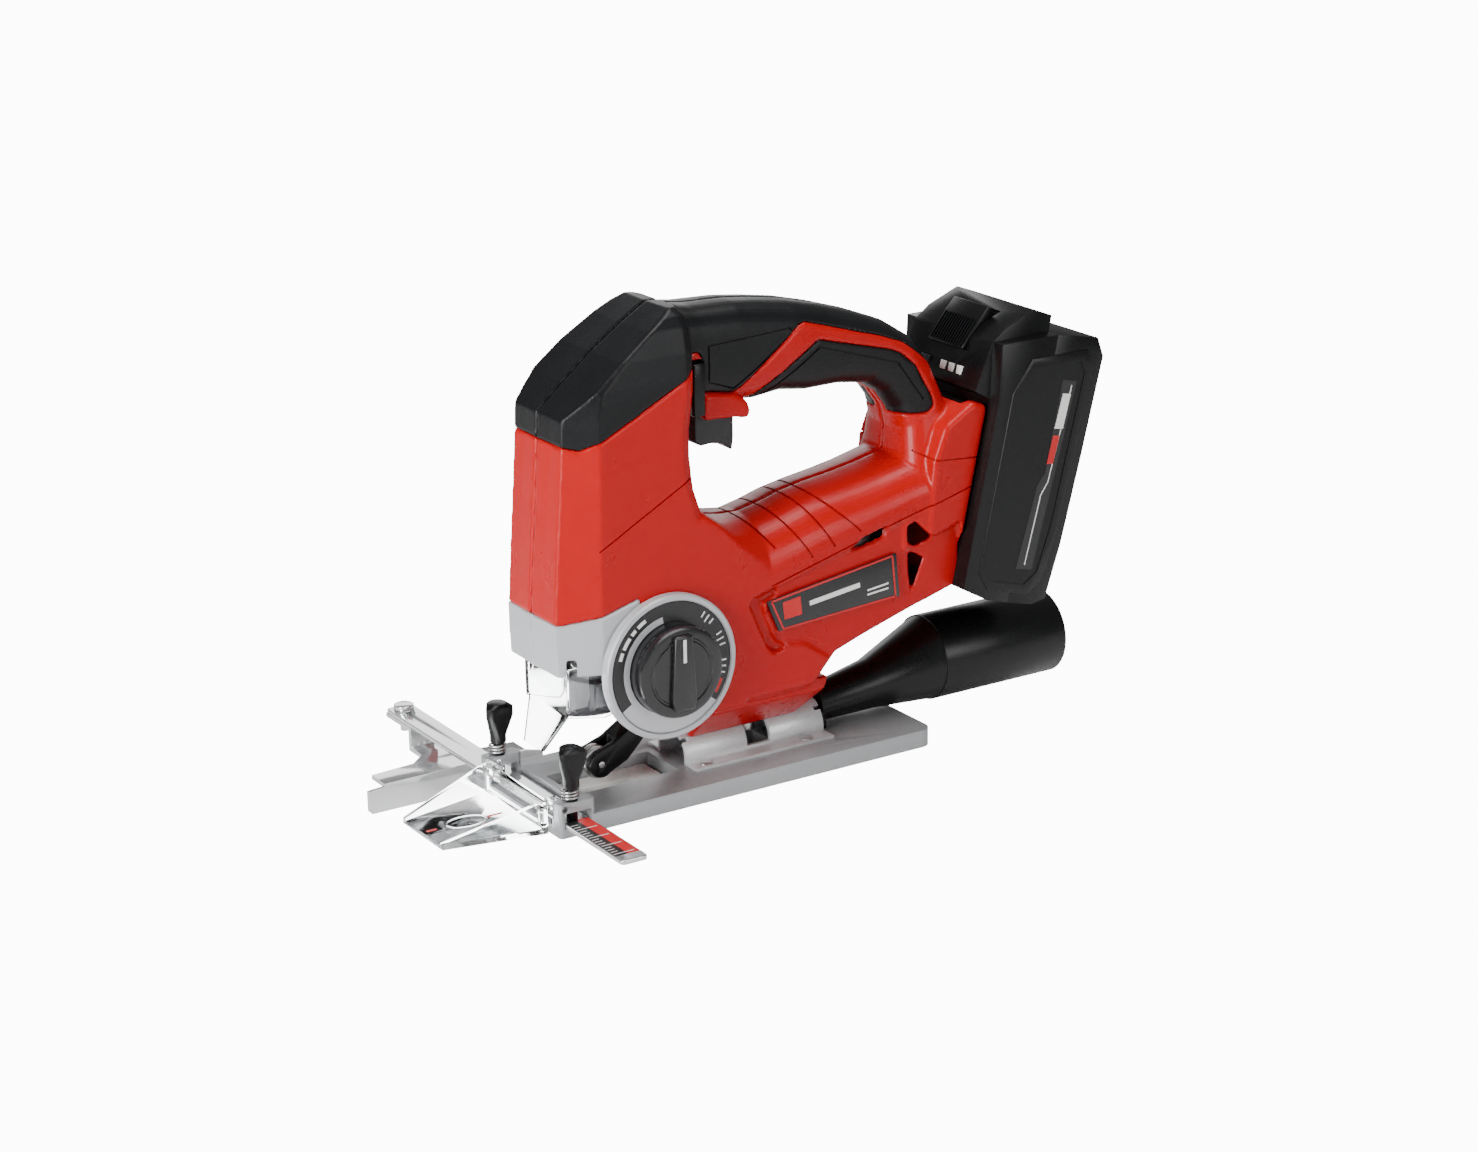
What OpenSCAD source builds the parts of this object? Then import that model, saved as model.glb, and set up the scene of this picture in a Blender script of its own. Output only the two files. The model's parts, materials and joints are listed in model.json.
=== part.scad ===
// Cordless jigsaw with a tilting base plate, an orbital selector, a parallel guide
// and a slide-off battery.
// X runs from the front of the tool (-X) to its rear (+X), Z = 0 is the sole that
// rests on the work, Y = 0 is the middle plane, and X = 0 is the line of the blade.

/* [Base plate] */
// Width of the base plate
base_w = 70; // [66:1:74]
// Thickness of the base plate
base_t = 8; // [7:0.5:9]
// Distance from the blade line to the rear end of the base plate
base_rear = 153; // [145:1:160]
// Radius of the half-round bevel saddle
saddle_r = 11.8; // [11:0.1:12.5]

/* [Tool body] */
// Half width of the head and of the lower body
body_hw = 28; // [26:0.5:30]
// Half width of the handle
handle_hw = 17.5; // [16:0.5:19]
// Wall thickness of the moulded shells
wall = 2.8; // [2.2:0.1:3.2]

/* [Drive] */
// Outer diameter of the motor can
motor_d = 42; // [38:1:43]
// Number of teeth on the crank gear
gear_teeth = 40; // [36:1:42]
// Number of teeth on the motor pinion
pinion_teeth = 8; // [7:1:9]
// Gear module
gear_module = 1; // [0.9:0.05:1]
// Stroke of the plunger
stroke = 20; // [14:1:20]

/* [Controls] */
// Diameter of the orbital selector knob
knob_d = 40; // [36:1:42]
// Travel of the trigger
trigger_travel = 5; // [3:0.5:5.5]

/* [Parallel guide] */
// Length of the guide bar
bar_len = 211; // [180:1:230]
// Width of the guide bar
bar_w = 12.4; // [10:0.2:12.6]

/* [Battery] */
// Angle at which the battery leans back
lean = 12.5; // [8:0.5:15]
// Half width of the battery case
batt_hw = 35.5; // [33:0.5:37]
// Outer diameter of the dust tube
tube_d = 39; // [36:1:41]

/* [Hidden] */
$fn = 96;
eps = 0.02;
gap = 0.3;

base_front = -36.5;
tilt_z = 10.5;
block_w = 7;
block_top = 15;
bar_x = -28;
bar_top = 6.3;
bar_t = 2;
bar_near = -81;
bar_far = bar_near + bar_len;
block_rear = -19.5;
bevel_x = 76;
saddle_screw_x = [46, 98];
saddle_screw_y = 16;
bush_z = [79, 148];
roller_x = 0.6;
roller_z = 15.4;
fork_x = 24;
fork_z = 62;
knob_x = -29;
knob_y = base_w / 2 - block_w / 2;
dial_x = 20.2;
dial_z = 63.4;
gear_x0 = 20;
gear_x1 = 27;
hinge_x = -34;
hinge_z = 12.6;
gear_z = 111;
gear_pitch_r = gear_module * gear_teeth / 2;
pinion_pitch_r = gear_module * pinion_teeth / 2;
motor_z = gear_z - gear_pitch_r - pinion_pitch_r;
motor_x0 = 78;
motor_x1 = 134;
rod_r = 4;
foot_x = 169.2;
foot_z = 73.9;
tube_x0 = 172;
tube_x1 = 239;
tube_z = 27;
tube_bore_r = tube_d / 2 - 2.2;
fence_z = -5.2;
fence_y = 73.6;
fence_low = -18;
// Housing screws: X, Z and the Y of the head's seat
screw_places = [[-12, 150, 22], [30, 180, 20], [46, 122, 17], [62, 44, 22], [100, 180, 12], [152, 168, 12],
    [150, 106, 22], [160, 98, 22]];

// ---- shared shapes ----

// A side-view outline (X, Z) made solid from y0 to y1
module side(y0, y1) {
    translate([0, y1, 0]) rotate([90, 0, 0]) linear_extrude(height = y1 - y0) children();
}
module rod_x(r, x0, x1, y = 0, z = 0) {
    translate([x0, y, z]) rotate([0, 90, 0]) cylinder(r = r, h = x1 - x0);
}
module rod_y(r, y0, y1, x = 0, z = 0) {
    translate([x, y1, z]) rotate([90, 0, 0]) cylinder(r = r, h = y1 - y0);
}
module rod_z(r, z0, z1, x = 0, y = 0) {
    translate([x, y, z0]) cylinder(r = r, h = z1 - z0);
}
module box(lo, hi) {
    translate(lo) cube(hi - lo);
}
module rounded_rect(x0, x1, y0, y1, r) {
    union() {
        translate([x0 + r, y0]) square([x1 - x0 - 2 * r, y1 - y0]);
        translate([x0, y0 + r]) square([x1 - x0, y1 - y0 - 2 * r]);
        for (x = [x0 + r, x1 - r], y = [y0 + r, y1 - r]) translate([x, y]) circle(r = r);
    }
}
// Battery frame: local x is the thickness direction, local z runs up the battery
module in_battery() {
    translate([foot_x, 0, foot_z]) rotate([0, lean, 0]) children();
}

// A spur gear with straight-sided teeth, its axis along X
module spur_gear(teeth, width, tooth_share, turn = 0) {
    pitch_r = gear_module * teeth / 2;
    root_r = pitch_r - 1.25 * gear_module;
    tip_r = pitch_r + 0.9 * gear_module;
    half_root = 180 / teeth * tooth_share * 1.25;
    half_tip = 180 / teeth * tooth_share * 0.55;
    rotate([90, 0, 90]) linear_extrude(height = width) rotate(turn) union() {
        circle(r = root_r);
        for (i = [0:teeth - 1]) rotate(i * 360 / teeth) polygon([
            [root_r * 0.9, -root_r * sin(half_root)], [root_r * cos(half_root), -root_r * sin(half_root)],
            [tip_r, -tip_r * sin(half_tip)], [tip_r, tip_r * sin(half_tip)],
            [root_r * cos(half_root), root_r * sin(half_root)], [root_r * 0.9, root_r * sin(half_root)]
        ]);
    }
}

// ---- base plate and what is fixed to it ----

module base_plate() color("lightslategray") difference() {
    union() {
        linear_extrude(height = base_t) rounded_rect(base_front, base_rear, -base_w / 2, base_w / 2, 6);
        for (s = [-1, 1]) linear_extrude(height = block_top)
            rounded_rect(base_front, block_rear, s * knob_y - block_w / 2, s * knob_y + block_w / 2, 2);
    }
    // recess between the guide holders, and the blade opening behind it
    box([base_front - 1, -base_w / 2 + block_w, 4.1], [block_rear, base_w / 2 - block_w, block_top]);
    box([-16.5, -13, -1], [34, 13, base_t + 1]);
    // slots for the guide bar
    box([bar_x - bar_w / 2 - gap, -base_w, 4.1], [bar_x + bar_w / 2 + gap, base_w, 10.9]);
    for (s = [-1, 1]) rod_z(2.5, 8, block_top + 1, knob_x, s * knob_y);
    // key opening under the bevel screw, holes for the saddle screws
    box([66, -9, -1], [86, 9, base_t + 1]);
    for (x = saddle_screw_x, s = [-1, 1]) {
        rod_z(2, -1, base_t + 1, x, s * saddle_screw_y);
        rod_z(3.8, -1, 3, x, s * saddle_screw_y);
    }
    rod_y(1.5, -base_w, base_w, hinge_x, hinge_z);
}

module bevel_saddle() color("gainsboro") difference() {
    union() {
        difference() {
            rod_x(saddle_r, 39, 110, 0, tilt_z);
            box([30, -40, -20], [120, 40, base_t]);
        }
        box([39, -20, base_t], [110, 20, base_t + 1.2]);
    }
    rod_x(saddle_r - 2, 38, 111, 0, tilt_z);
    box([38, -saddle_r + 2, 0], [111, saddle_r - 2, tilt_z]);
    // slot that the bevel screw sweeps, and index notches at 0 and 45 degrees
    box([70, -saddle_r - 1, base_t + 2.4], [82, saddle_r + 1, 40]);
    for (x = [39, 110], a = [-45, 0, 45]) translate([x, 0, tilt_z]) rotate([a, 0, 0]) box([-3, -1, 9], [3, 1, 20]);
    for (x = saddle_screw_x, s = [-1, 1]) rod_z(2, 0, base_t + 2, x, s * saddle_screw_y);
}
module saddle_screws() color("silver") for (x = saddle_screw_x, s = [-1, 1]) {
    difference() {
        union() {
            rod_z(1.95, 2.5, base_t + 1.2, x, s * saddle_screw_y);
            rod_z(3.6, 0.6, 2.9, x, s * saddle_screw_y);
        }
        translate([x, s * saddle_screw_y, 0]) cylinder(r = 1.6, h = 1.8, $fn = 6);
    }
    rod_z(3, base_t + 1.2, base_t + 1.8, x, s * saddle_screw_y);
}
module splinter_insert() color("white") difference() {
    box([-16.2, -12.8, 0.4], [32, 12.8, 3]);
    box([-17, -2.4, -1], [20, 2.4, 4]);
}

// ---- parallel guide ----

module guide_bar() color("silver") difference() {
    translate([0, 0, bar_top - bar_t]) linear_extrude(height = bar_t)
        rounded_rect(bar_x - bar_w / 2, bar_x + bar_w / 2, bar_near, bar_near + bar_len, 2);
    rod_z(2, 0, 10, bar_x, bar_far - 6);
}
module guide_fence() color("silver") difference() {
    union() {
        // tab under the bar, drop leg, plate with its strip, and the flange
        box([bar_x - bar_w / 2, bar_far - 22, bar_top - 2 * bar_t], [bar_x + bar_w / 2, bar_far, bar_top - bar_t]);
        box([bar_x - bar_w / 2, bar_far - 24, fence_z - 2], [bar_x + bar_w / 2, bar_far - 22, bar_top - bar_t]);
        translate([0, 0, fence_z - 2]) linear_extrude(height = 2) polygon([
            [bar_x - 35.5, fence_y], [bar_x + 35.5, fence_y], [bar_x + 35.5, fence_y + 13],
            [bar_x + 14, fence_y + 15], [bar_x + bar_w / 2, fence_y + 22], [bar_x + bar_w / 2, bar_far - 22],
            [bar_x - bar_w / 2, bar_far - 22], [bar_x - bar_w / 2, fence_y + 22], [bar_x - 14, fence_y + 15],
            [bar_x - 35.5, fence_y + 13]]);
        side(fence_y, fence_y + 1.8) polygon([
            [bar_x - 43.5, fence_z - 2], [bar_x - 35.5, fence_z - 1.4], [bar_x - 35.5, fence_z],
            [bar_x + 35.5, fence_z], [bar_x + 43.5, fence_z - 2], [bar_x + 43.5, fence_low + 1.5],
            [bar_x + 42, fence_low], [bar_x - 42, fence_low], [bar_x - 43.5, fence_low + 1.5]]);
    }
    rod_z(2, -10, 10, bar_x, bar_far - 6);
}
module guide_pivot_pin() color("gainsboro") {
    rod_z(4.6, bar_top, bar_top + 2.6, bar_x, bar_far - 6);
    rod_z(2, bar_top - 2 * bar_t - 6, bar_top, bar_x, bar_far - 6);
}

module clamp_knob(s) color("dimgray") {
    rod_z(2.45, bar_top + 0.1, 22, knob_x, s * knob_y);
    rod_z(3.5, 21, 25, knob_x, s * knob_y);
    translate([knob_x, s * knob_y, 0]) hull() {
        translate([0, 0, 24]) cylinder(r = 3.5, h = 1, $fn = 32);
        for (a = [90, 210, 330]) rotate(a) translate([4.4, 0, 33]) cylinder(r = 2.4, h = 4, $fn = 24);
        translate([0, 0, 37]) cylinder(r = 4, h = 1.6, $fn = 32);
    }
}
module clamp_knob_left() clamp_knob(-1);
module clamp_knob_right() clamp_knob(1);
module knob_springs() color("silver") for (s = [-1, 1], i = [0:2])
    translate([knob_x, s * knob_y, block_top + 0.7 + i * 1.9])
        rotate_extrude() translate([3.3, 0]) circle(r = 0.6, $fn = 16);

module sight_guide() color("aliceblue", 0.5) difference() {
    union() {
        translate([0, 0, 0.4]) linear_extrude(height = 1.8)
            polygon([[-82.5, -17.7], [-82.5, 17.7], [-40, 26.5], [-38, 26.5], [-38, -26.5], [-40, -26.5]]);
        for (s = [-1, 1]) {
            // sloping side rib that follows the plate's edge, and the hinge arm behind it
            intersection() {
                linear_extrude(height = 20)
                    polygon([[-82.5, s * 17.7], [-38, s * 26.9], [-38, s * 24.9], [-82.5, s * 15.7]]);
                side(-40, 40) polygon([[-82.5, 0.4], [-82.5, 3], [-42, 14], [-38, 14], [-38, 0.4]]);
            }
            side(s * 24.5 - 2, s * 24.5 + 2)
                polygon([[-40, 0.4], [-40, 14.6], [-31.5, 14.6], [-31.5, 10.6], [-38, 10.6], [-38, 0.4]]);
        }
        box([-40, -24, 10.6], [-37, 24, 14.6]);
        box([-40, -24, 0.4], [-38, 24, 4]);
    }
    rod_y(1.55, -30, 30, hinge_x, hinge_z);
}
module sight_guide_pins() color("silver") for (s = [-1, 1])
    rod_y(1.5, min(s * 21, s * 33), max(s * 21, s * 33), hinge_x, hinge_z);

module dust_tube() color("dimgray") difference() {
    union() {
        rod_x(tube_d / 2, tube_x0, tube_x1, 0, tube_z);
        hull() {
            rod_x(tube_d / 2 - 0.5, tube_x0, tube_x0 + 2, 0, tube_z, $fn = 48);
            rod_x(11.3, 141, 142, 0, 20.8, $fn = 48);
        }
        hull() {
            rod_x(11.3, 141, 142, 0, 20.8, $fn = 48);
            rod_x(8.4, 112, 113, 0, 17.4, $fn = 48);
        }
        intersection() {
            rod_x(saddle_r - 2.4, 98, 113, 0, tilt_z);
            box([98, -20, base_t + 0.4], [114, 20, 40]);
        }
    }
    rod_x(tube_bore_r, tube_x0 + 6, tube_x1 + 1, 0, tube_z);
    hull() {
        rod_x(tube_bore_r, tube_x0 + 5, tube_x0 + 7, 0, tube_z, $fn = 48);
        rod_x(9, 141, 142, 0, 20.8, $fn = 48);
    }
    hull() {
        rod_x(9, 141, 142, 0, 20.8, $fn = 48);
        rod_x(5.2, 112, 113, 0, 14.9, $fn = 48);
    }
    rod_x(5.2, 97, 114, 0, 14.9);
}

// ---- housing outlines in side view ----

module head_outline() polygon([
    [-27.4, 64.6], [-27.8, 88], [-24.8, 127.5], [-22, 162.4], [-21.6, 173.3], [-9.1, 184], [4, 194.7],
    [18.6, 204.8], [31.2, 212.4], [36.5, 210.5], [38.6, 197], [37.2, 150], [40, 128], [50, 112], [56, 60], [50, 36],
    [15, 36], [-8, 64.6]
]);
module lower_outline() polygon([
    [10, 36], [94.7, 36], [106.9, 50.5], [129, 56.7], [167.5, 68.6], [169.6, 80], [178, 118],
    [172, 131], [146, 127], [122, 122.8], [101, 119.4], [75.5, 112.5], [56, 109], [44, 121], [36, 130], [20, 130]
]);
module handle_outline() polygon([
    [26, 209.5], [31.2, 212.4], [37.9, 210.8], [47.5, 209.1], [67.1, 208.4], [87, 206.1], [107.2, 201.5],
    [127.8, 195.5], [148.7, 187.3], [159.2, 179.9], [168, 168], [174, 152], [178, 140], [174, 112], [150, 112],
    [148, 128], [151, 143], [145, 154], [137.5, 161.5], [126, 164.4], [101, 163.9], [92, 166], [83, 167],
    [76, 163.5], [68, 165.4], [47.8, 168.5], [40, 158], [26, 158]
]);
module foot_outline() polygon([
    [151, 80], [165, 68.5], [foot_x - gap, foot_z], [foot_x - gap + 77 * sin(lean), foot_z + 77 * cos(lean)],
    [178, 152], [163, 146], [152, 128]
]);
module dial_boss() translate([dial_x, dial_z]) circle(r = 31.6);

// Solid that fills the housing less an inset; its parts have their own half widths
module housing(inset) {
    side(-body_hw + inset, body_hw - inset) offset(delta = -inset) intersection() {
        union() {
            head_outline();
            dial_boss();
        }
        translate([-40, 36]) square([120, 200]);
    }
    side(-body_hw + inset, body_hw - inset) offset(delta = -inset) difference() {
        lower_outline();
        polygon([[46, 104], [80, 104], [176, 118], [180, 140], [20, 140], [30, 125], [40, 112]]);
    }
    side(-22 + inset, 22 - inset) offset(delta = -inset) lower_outline();
    side(-handle_hw + inset, handle_hw - inset) offset(delta = -inset) handle_outline();
    side(-29 + inset, 29 - inset) offset(delta = -inset) foot_outline();
}
// Cradle that rides on the bevel saddle
module saddle_cradle() difference() {
    intersection() {
        rotate([90, 0, 90]) translate([0, 0, 42]) linear_extrude(height = 64)
            polygon([[-9.2, 19.5], [9.2, 19.5], [23.5, 34], [23.5, 38], [-23.5, 38], [-23.5, 34]]);
        side(-30, 30) polygon([[42, 18], [96, 18], [105, 38], [42, 38]]);
    }
    rod_x(saddle_r + gap, 40, 108, 0, tilt_z);
    rod_z(2.6, 10, 34, bevel_x, 0);
}
module hood_region() polygon([
    [-40, 158.9], [-22, 162.4], [-15, 160.5], [36, 184.5], [42, 189.5], [50, 194], [92, 194.5], [103, 191.5],
    [138, 182.8], [152, 178], [166, 167], [180, 175], [160, 215], [-40, 225]
]);
module pad_region() polygon([
    [106.9, 186.2], [141.9, 178.4], [155, 169.4], [162.5, 152], [154, 148], [145, 158], [138, 163.5],
    [118.6, 168.3], [90.5, 167.6], [80, 169]
]);
module cover_region() polygon([[-40, 60], [-40, 88.2], [-9, 89.2], [-9, 60]]);
module label_region() polygon([[70, 81], [137.5, 90.6], [139.4, 70.4], [76, 66.6]]);
module vent_region() for (i = [0:2]) translate([5.5 * i, 1.4 * i])
    polygon([[147, 75], [150, 75.8], [148.4, 88], [145.4, 87.2]]);

// Openings through both shells
module housing_openings() {
    // underside around the plunger and the guard
    box([-24.3, -24, 30], [14, 24, 69]);
    box([13, -7.5, 30], [31, 7.5, 69]);
    // trigger and lock-off button
    box([47.7, -9.3, 140], [67.6, 9.3, 176]);
    box([40.8, -30, 164], [47.5, 30, 187.5]);
    // selector shaft, name plates, vents, grip pads
    rod_y(8.06, -40, 0, dial_x, dial_z);
    for (s = [-1, 1]) {
        side(s * 34 - 6.5, s * 34 + 6.5) label_region();
        side(s * 30 - 10, s * 30 + 10) vent_region();
        side(s * 26.2 - 10, s * 26.2 + 10) pad_region();
    }
    // T-shaped channel that takes the battery's rails
    in_battery() {
        box([-9.5, -23.4, 2], [-3.7, 23.4, 90]);
        box([-9.5, -19.4, 2], [2, 19.4, 90]);
    }
}
module shells() difference() {
    union() {
        difference() {
            housing(0);
            side(-60, 60) hood_region();
        }
        intersection() {
            housing(3);
            side(-60, 60) hood_region();
        }
        saddle_cradle();
        for (p = screw_places) rod_y(3.6, -p[2] - 3.5, p[2] + 3.5, p[0], p[1]);
    }
    difference() {
        union() {
            difference() {
                housing(wall);
                side(-60, 60) offset(delta = wall) hood_region();
            }
            housing(3 + wall);
        }
        // ribs that hold the motor, the wall behind the battery's rails, screw posts
        for (x = [84, 124]) difference() {
            box([x, -30, 30], [x + 2.4, 30, 140]);
            rod_x(motor_d / 2 + eps, x - 1, x + 4, 0, motor_z);
        }
        in_battery() box([-13, -30, -5], [3, 30, 90]);
        saddle_cradle();
        for (p = screw_places) rod_y(3.6, -30, 30, p[0], p[1]);
    }
    side(-60, 60) cover_region();
    housing_openings();
    for (p = screw_places) {
        rod_y(1.6, -14, 60, p[0], p[1]);
        rod_y(3.2, p[2], 60, p[0], p[1]);
    }
}
module shell_left() color("red") intersection() {
    shells();
    box([-60, -60, 0], [260, 0, 260]);
}
module shell_right() color("firebrick") intersection() {
    shells();
    box([-60, 0, 0], [260, 60, 260]);
}
module shell_screws() color("silver") for (p = screw_places) difference() {
    union() {
        rod_y(1.6, -12, p[2], p[0], p[1]);
        rod_y(3, p[2], p[2] + 2.2, p[0], p[1]);
    }
    rod_y(1.3, p[2] + 0.8, p[2] + 3, p[0], p[1]);
}
module hood_grip() color([0.12, 0.12, 0.13]) difference() {
    intersection() {
        difference() {
            housing(0);
            housing(3);
        }
        side(-60, 60) hood_region();
    }
    housing_openings();
}
module handle_pads() color([0.12, 0.12, 0.13]) for (s = [-1, 1])
    side(s * (handle_hw - 0.5) - 0.8, s * (handle_hw - 0.5) + 0.8) offset(delta = -0.1) pad_region();
module name_plates() color([0.2, 0.2, 0.22]) for (s = [-1, 1])
    side(s * 28.1 - 0.5, s * 28.1 + 0.5) offset(delta = -0.2) label_region();

// Silver gearbox cover: the front skin and the ring round the orbital selector
module gear_cover() color("silver") difference() {
    union() {
        intersection() {
            difference() {
                housing(0);
                housing(wall);
            }
            side(-60, 60) cover_region();
        }
        rod_y(31.6, -33, -28.8, dial_x, dial_z);
        rod_y(30.4, -28.8, -body_hw, dial_x, dial_z);
        side(-body_hw - 1.2, -body_hw) polygon([[-27, 66], [-27, 87.5], [5, 90], [5, 64], [-10, 64]]);
    }
    box([-24.3, -24, 30], [14, 24, 69]);
    rod_y(28.7, -34, -31.2, dial_x, dial_z);
    rod_y(8.06, -40, 0, dial_x, dial_z);
}
module mode_dial_plate() color([0.1, 0.1, 0.11]) difference() {
    rod_y(28.6, -32.4, -31.2, dial_x, dial_z);
    rod_y(8.06, -40, 0, dial_x, dial_z);
}
module selector_knob() color([0.07, 0.07, 0.08]) {
    rod_y(knob_d / 2, -41, -32.7, dial_x, dial_z);
    rod_y(8, -32.8, -20, dial_x, dial_z);
    side(-43.5, -41) polygon([[dial_x - 5, dial_z - 17], [dial_x + 5, dial_z - 17],
        [dial_x + 3.5, dial_z + 17], [dial_x - 3.5, dial_z + 17]]);
}
module bevel_screw() color("silver") difference() {
    union() {
        rod_z(2.5, 18, 33, bevel_x, 0);
        rod_z(4.4, 14, 18, bevel_x, 0);
    }
    translate([bevel_x, 0, 13]) cylinder(r = 2.2, h = 3.4, $fn = 6);
}
module bevel_clamp_plate() color("silver") difference() {
    rod_x(saddle_r - 2.3, 68, 84, 0, tilt_z);
    box([67, -20, 0], [85, 20, 18]);
    rod_z(2.55, 0, 40, bevel_x, 0);
}

// ---- drive ----

module motor_can() color("silver") difference() {
    rod_x(motor_d / 2, motor_x0, motor_x1, 0, motor_z);
    rod_x(motor_d / 2 - 1.6, motor_x0 + 2, motor_x1 + 1, 0, motor_z);
    rod_x(4, motor_x0 - 1, motor_x1, 0, motor_z);
}
module motor_end_cap() color("black") difference() {
    rod_x(motor_d / 2 - 1, motor_x1, motor_x1 + 6, 0, motor_z);
    rod_x(2.6, motor_x1 - 1, motor_x1 + 7, 0, motor_z);
}
module motor_rotor() color("darkorange") {
    rod_x(2.5, gear_x0, motor_x1 + 8, 0, motor_z);
    rod_x(16, motor_x0 + 8, motor_x1 - 14, 0, motor_z);
    rod_x(8, motor_x1 - 12, motor_x1 - 3, 0, motor_z);
}
module motor_pinion() color("goldenrod") translate([gear_x0, 0, motor_z]) difference() {
    spur_gear(pinion_teeth, gear_x1 - gear_x0, 0.38, 90 + 180 / pinion_teeth);
    rod_x(2.5, -1, 20);
}
module motor_fan() color("whitesmoke") translate([0, 0, motor_z]) difference() {
    union() {
        rod_x(18, motor_x0 - 5, motor_x0 - 3.5);
        rod_x(6, motor_x0 - 11, motor_x0 - 3.5);
        for (a = [0:30:330]) rotate([a, 0, 0]) box([motor_x0 - 11, -0.6, 5], [motor_x0 - 4, 0.6, 17.5]);
    }
    rod_x(2.5, 0, 100);
}
module crank_gear() color("darkgray") translate([gear_x0, 0, gear_z]) difference() {
    spur_gear(gear_teeth, gear_x1 - gear_x0, 0.4, -90);
    rod_x(4.05, -1, 20);
    for (a = [30:60:330]) rotate([a, 0, 0]) rod_x(3.2, -1, 20, 0, 11);
}
module crank_pin() color("gold") rod_x(3, gear_x0 - 3.7, gear_x0, stroke / 2, gear_z);
module gear_axle() color("silver") rod_x(4, gear_x0 - 1, 34, 0, gear_z);
module gearbox_frame() color("darkkhaki") difference() {
    union() {
        box([29, wall - body_hw, 74], [32, body_hw - wall, 158]);
        for (z = bush_z) box([-8, -8.5, z], [29.5, 8.5, z + 8]);
        // ears for the fork's pin
        for (s = [-1, 1]) side(s * 8.5 - 1.5, s * 8.5 + 1.5)
            polygon([[19, 57], [29, 57], [32, 74], [32, 80], [29, 80], [19, 67]]);
    }
    rod_x(4, 28, 34, 0, gear_z);
    rod_x(7, 28, 34, 0, motor_z);
    for (z = bush_z) rod_z(6, z - 1, z + 9);
    rod_y(2, -12, 12, fork_x, fork_z);
    // room for the gear and the pinion
    rod_x(gear_pitch_r + 2.2, gear_x0 - 1, gear_x1 + 1, 0, gear_z);
    rod_x(8, 12, 29, 0, motor_z);
}
module plunger_bushes() color("peru") for (z = bush_z) difference() {
    rod_z(6, z, z + 8);
    rod_z(rod_r + 0.05, z - 1, z + 9);
}
module plunger_rod() color("silver") rod_z(rod_r, 60, 168);
module plunger_yoke() color("dimgray") difference() {
    union() {
        box([-6, -6, gear_z - 8], [7, 6, gear_z + 8]);
        box([7, -16, gear_z - 8], [gear_x0 - 4, 16, gear_z + 8]);
    }
    rod_z(rod_r, gear_z - 10, gear_z + 10);
    box([8.5, -13.2, gear_z - 3.3], [gear_x0, 13.2, gear_z + 3.3]);
}
module blade_clamp() color("dimgray") difference() {
    rod_z(8.5, 44, 60);
    box([-4.5, -0.8, 40], [4.5, 0.8, 58]);
}
module clamp_collar() color([0.25, 0.26, 0.28]) difference() {
    union() {
        rod_z(15.5, 46, 56);
        translate([0, 0, 42]) cylinder(r1 = 12.5, r2 = 15.5, h = 4);
        rod_z(12, 55.9, 59);
        for (a = [0:30:330]) rotate(a) box([14.5, -1.2, 44.5], [15.7, 1.2, 56]);
    }
    rod_z(8.6, 40, 62);
}
module roller_fork() color([0.08, 0.08, 0.09]) difference() {
    side(-6, 6) union() {
        polygon([[-3, 11], [2, 10], [13, 15], [23, 25], [26.5, 36], [27.5, 62], [20.5, 62], [19.8, 38],
            [17.4, 30.5], [7, 24], [-2, 21]]);
        translate([roller_x, roller_z]) circle(r = 5.8);
        translate([fork_x, fork_z]) circle(r = 5);
    }
    // gap for the roller, pin holes
    box([-9, -3.2, 5], [8.6, 3.2, 26]);
    rod_y(1.5, -8, 8, roller_x, roller_z);
    rod_y(2.05, -8, 8, fork_x, fork_z);
}
module fork_pin() color("silver") rod_y(2, -10.5, 10.5, fork_x, fork_z);
module guide_roller() color("gray") translate([roller_x, 0, roller_z]) difference() {
    union() {
        rod_y(7, -2.9, -0.9);
        rod_y(7, 0.9, 2.9);
        rod_y(5.4, -1, 1);
    }
    rod_y(1.55, -4, 4);
}
module roller_pin() color("silver") rod_y(1.5, -6, 6, roller_x, roller_z);

module blade_guard() color("aliceblue", 0.45) difference() {
    union() {
        // front pane that tapers to a rib, and the two side panes
        intersection() {
            side(-18, 18) polygon([[-21.9, 66], [-21.9, 45], [-29.5, 29], [-27.6, 28.2], [-20.2, 44], [-20.2, 66]]);
            rotate([90, 0, 90]) translate([0, 0, -40]) linear_extrude(height = 40)
                polygon([[-18, 66], [-18, 50], [-7, 28], [7, 28], [18, 50], [18, 66]]);
        }
        for (s = [-1, 1]) side(s * 17.2 - 0.8, s * 17.2 + 0.8)
            polygon([[-21.8, 66], [-21.8, 45], [-4, 41.6], [12, 46], [12, 66]]);
    }
}

// ---- switch and controls ----

module trigger() color([0.2, 0.21, 0.23]) side(-9, 9) polygon([
    [48, 150.5], [51, 148.2], [56, 148.6], [62, 147.6], [66.5, 144], [67.3, 150], [67.3, 163], [66, 171],
    [62, 175.5], [52, 175.5], [48, 171]
]);
module trigger_spring() color("silver") for (i = [0:3]) translate([57, 0, 176.3 + i * 1.5])
    rotate_extrude() translate([3, 0]) circle(r = 0.5, $fn = 16);
module trigger_switch() color("black") box([48, wall - handle_hw, 182], [82, handle_hw - wall, 190.4]);
module lock_off_button() color([0.08, 0.08, 0.09]) {
    for (s = [-1, 1]) side(s * 18.3 - 1.6, s * 18.3 + 1.6)
        polygon([[41.4, 164.6], [46.9, 164.6], [46.9, 187], [41.4, 187]]);
    rod_y(2.6, -17, 17, 44.2, 178);
}
module control_board() color("green") box([142.5, wall - body_hw, 82], [144.1, body_hw - wall, 110]);
module led_lamp() color("white") rod_z(2.4, 73, bush_z[0], -5, -6);
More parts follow.
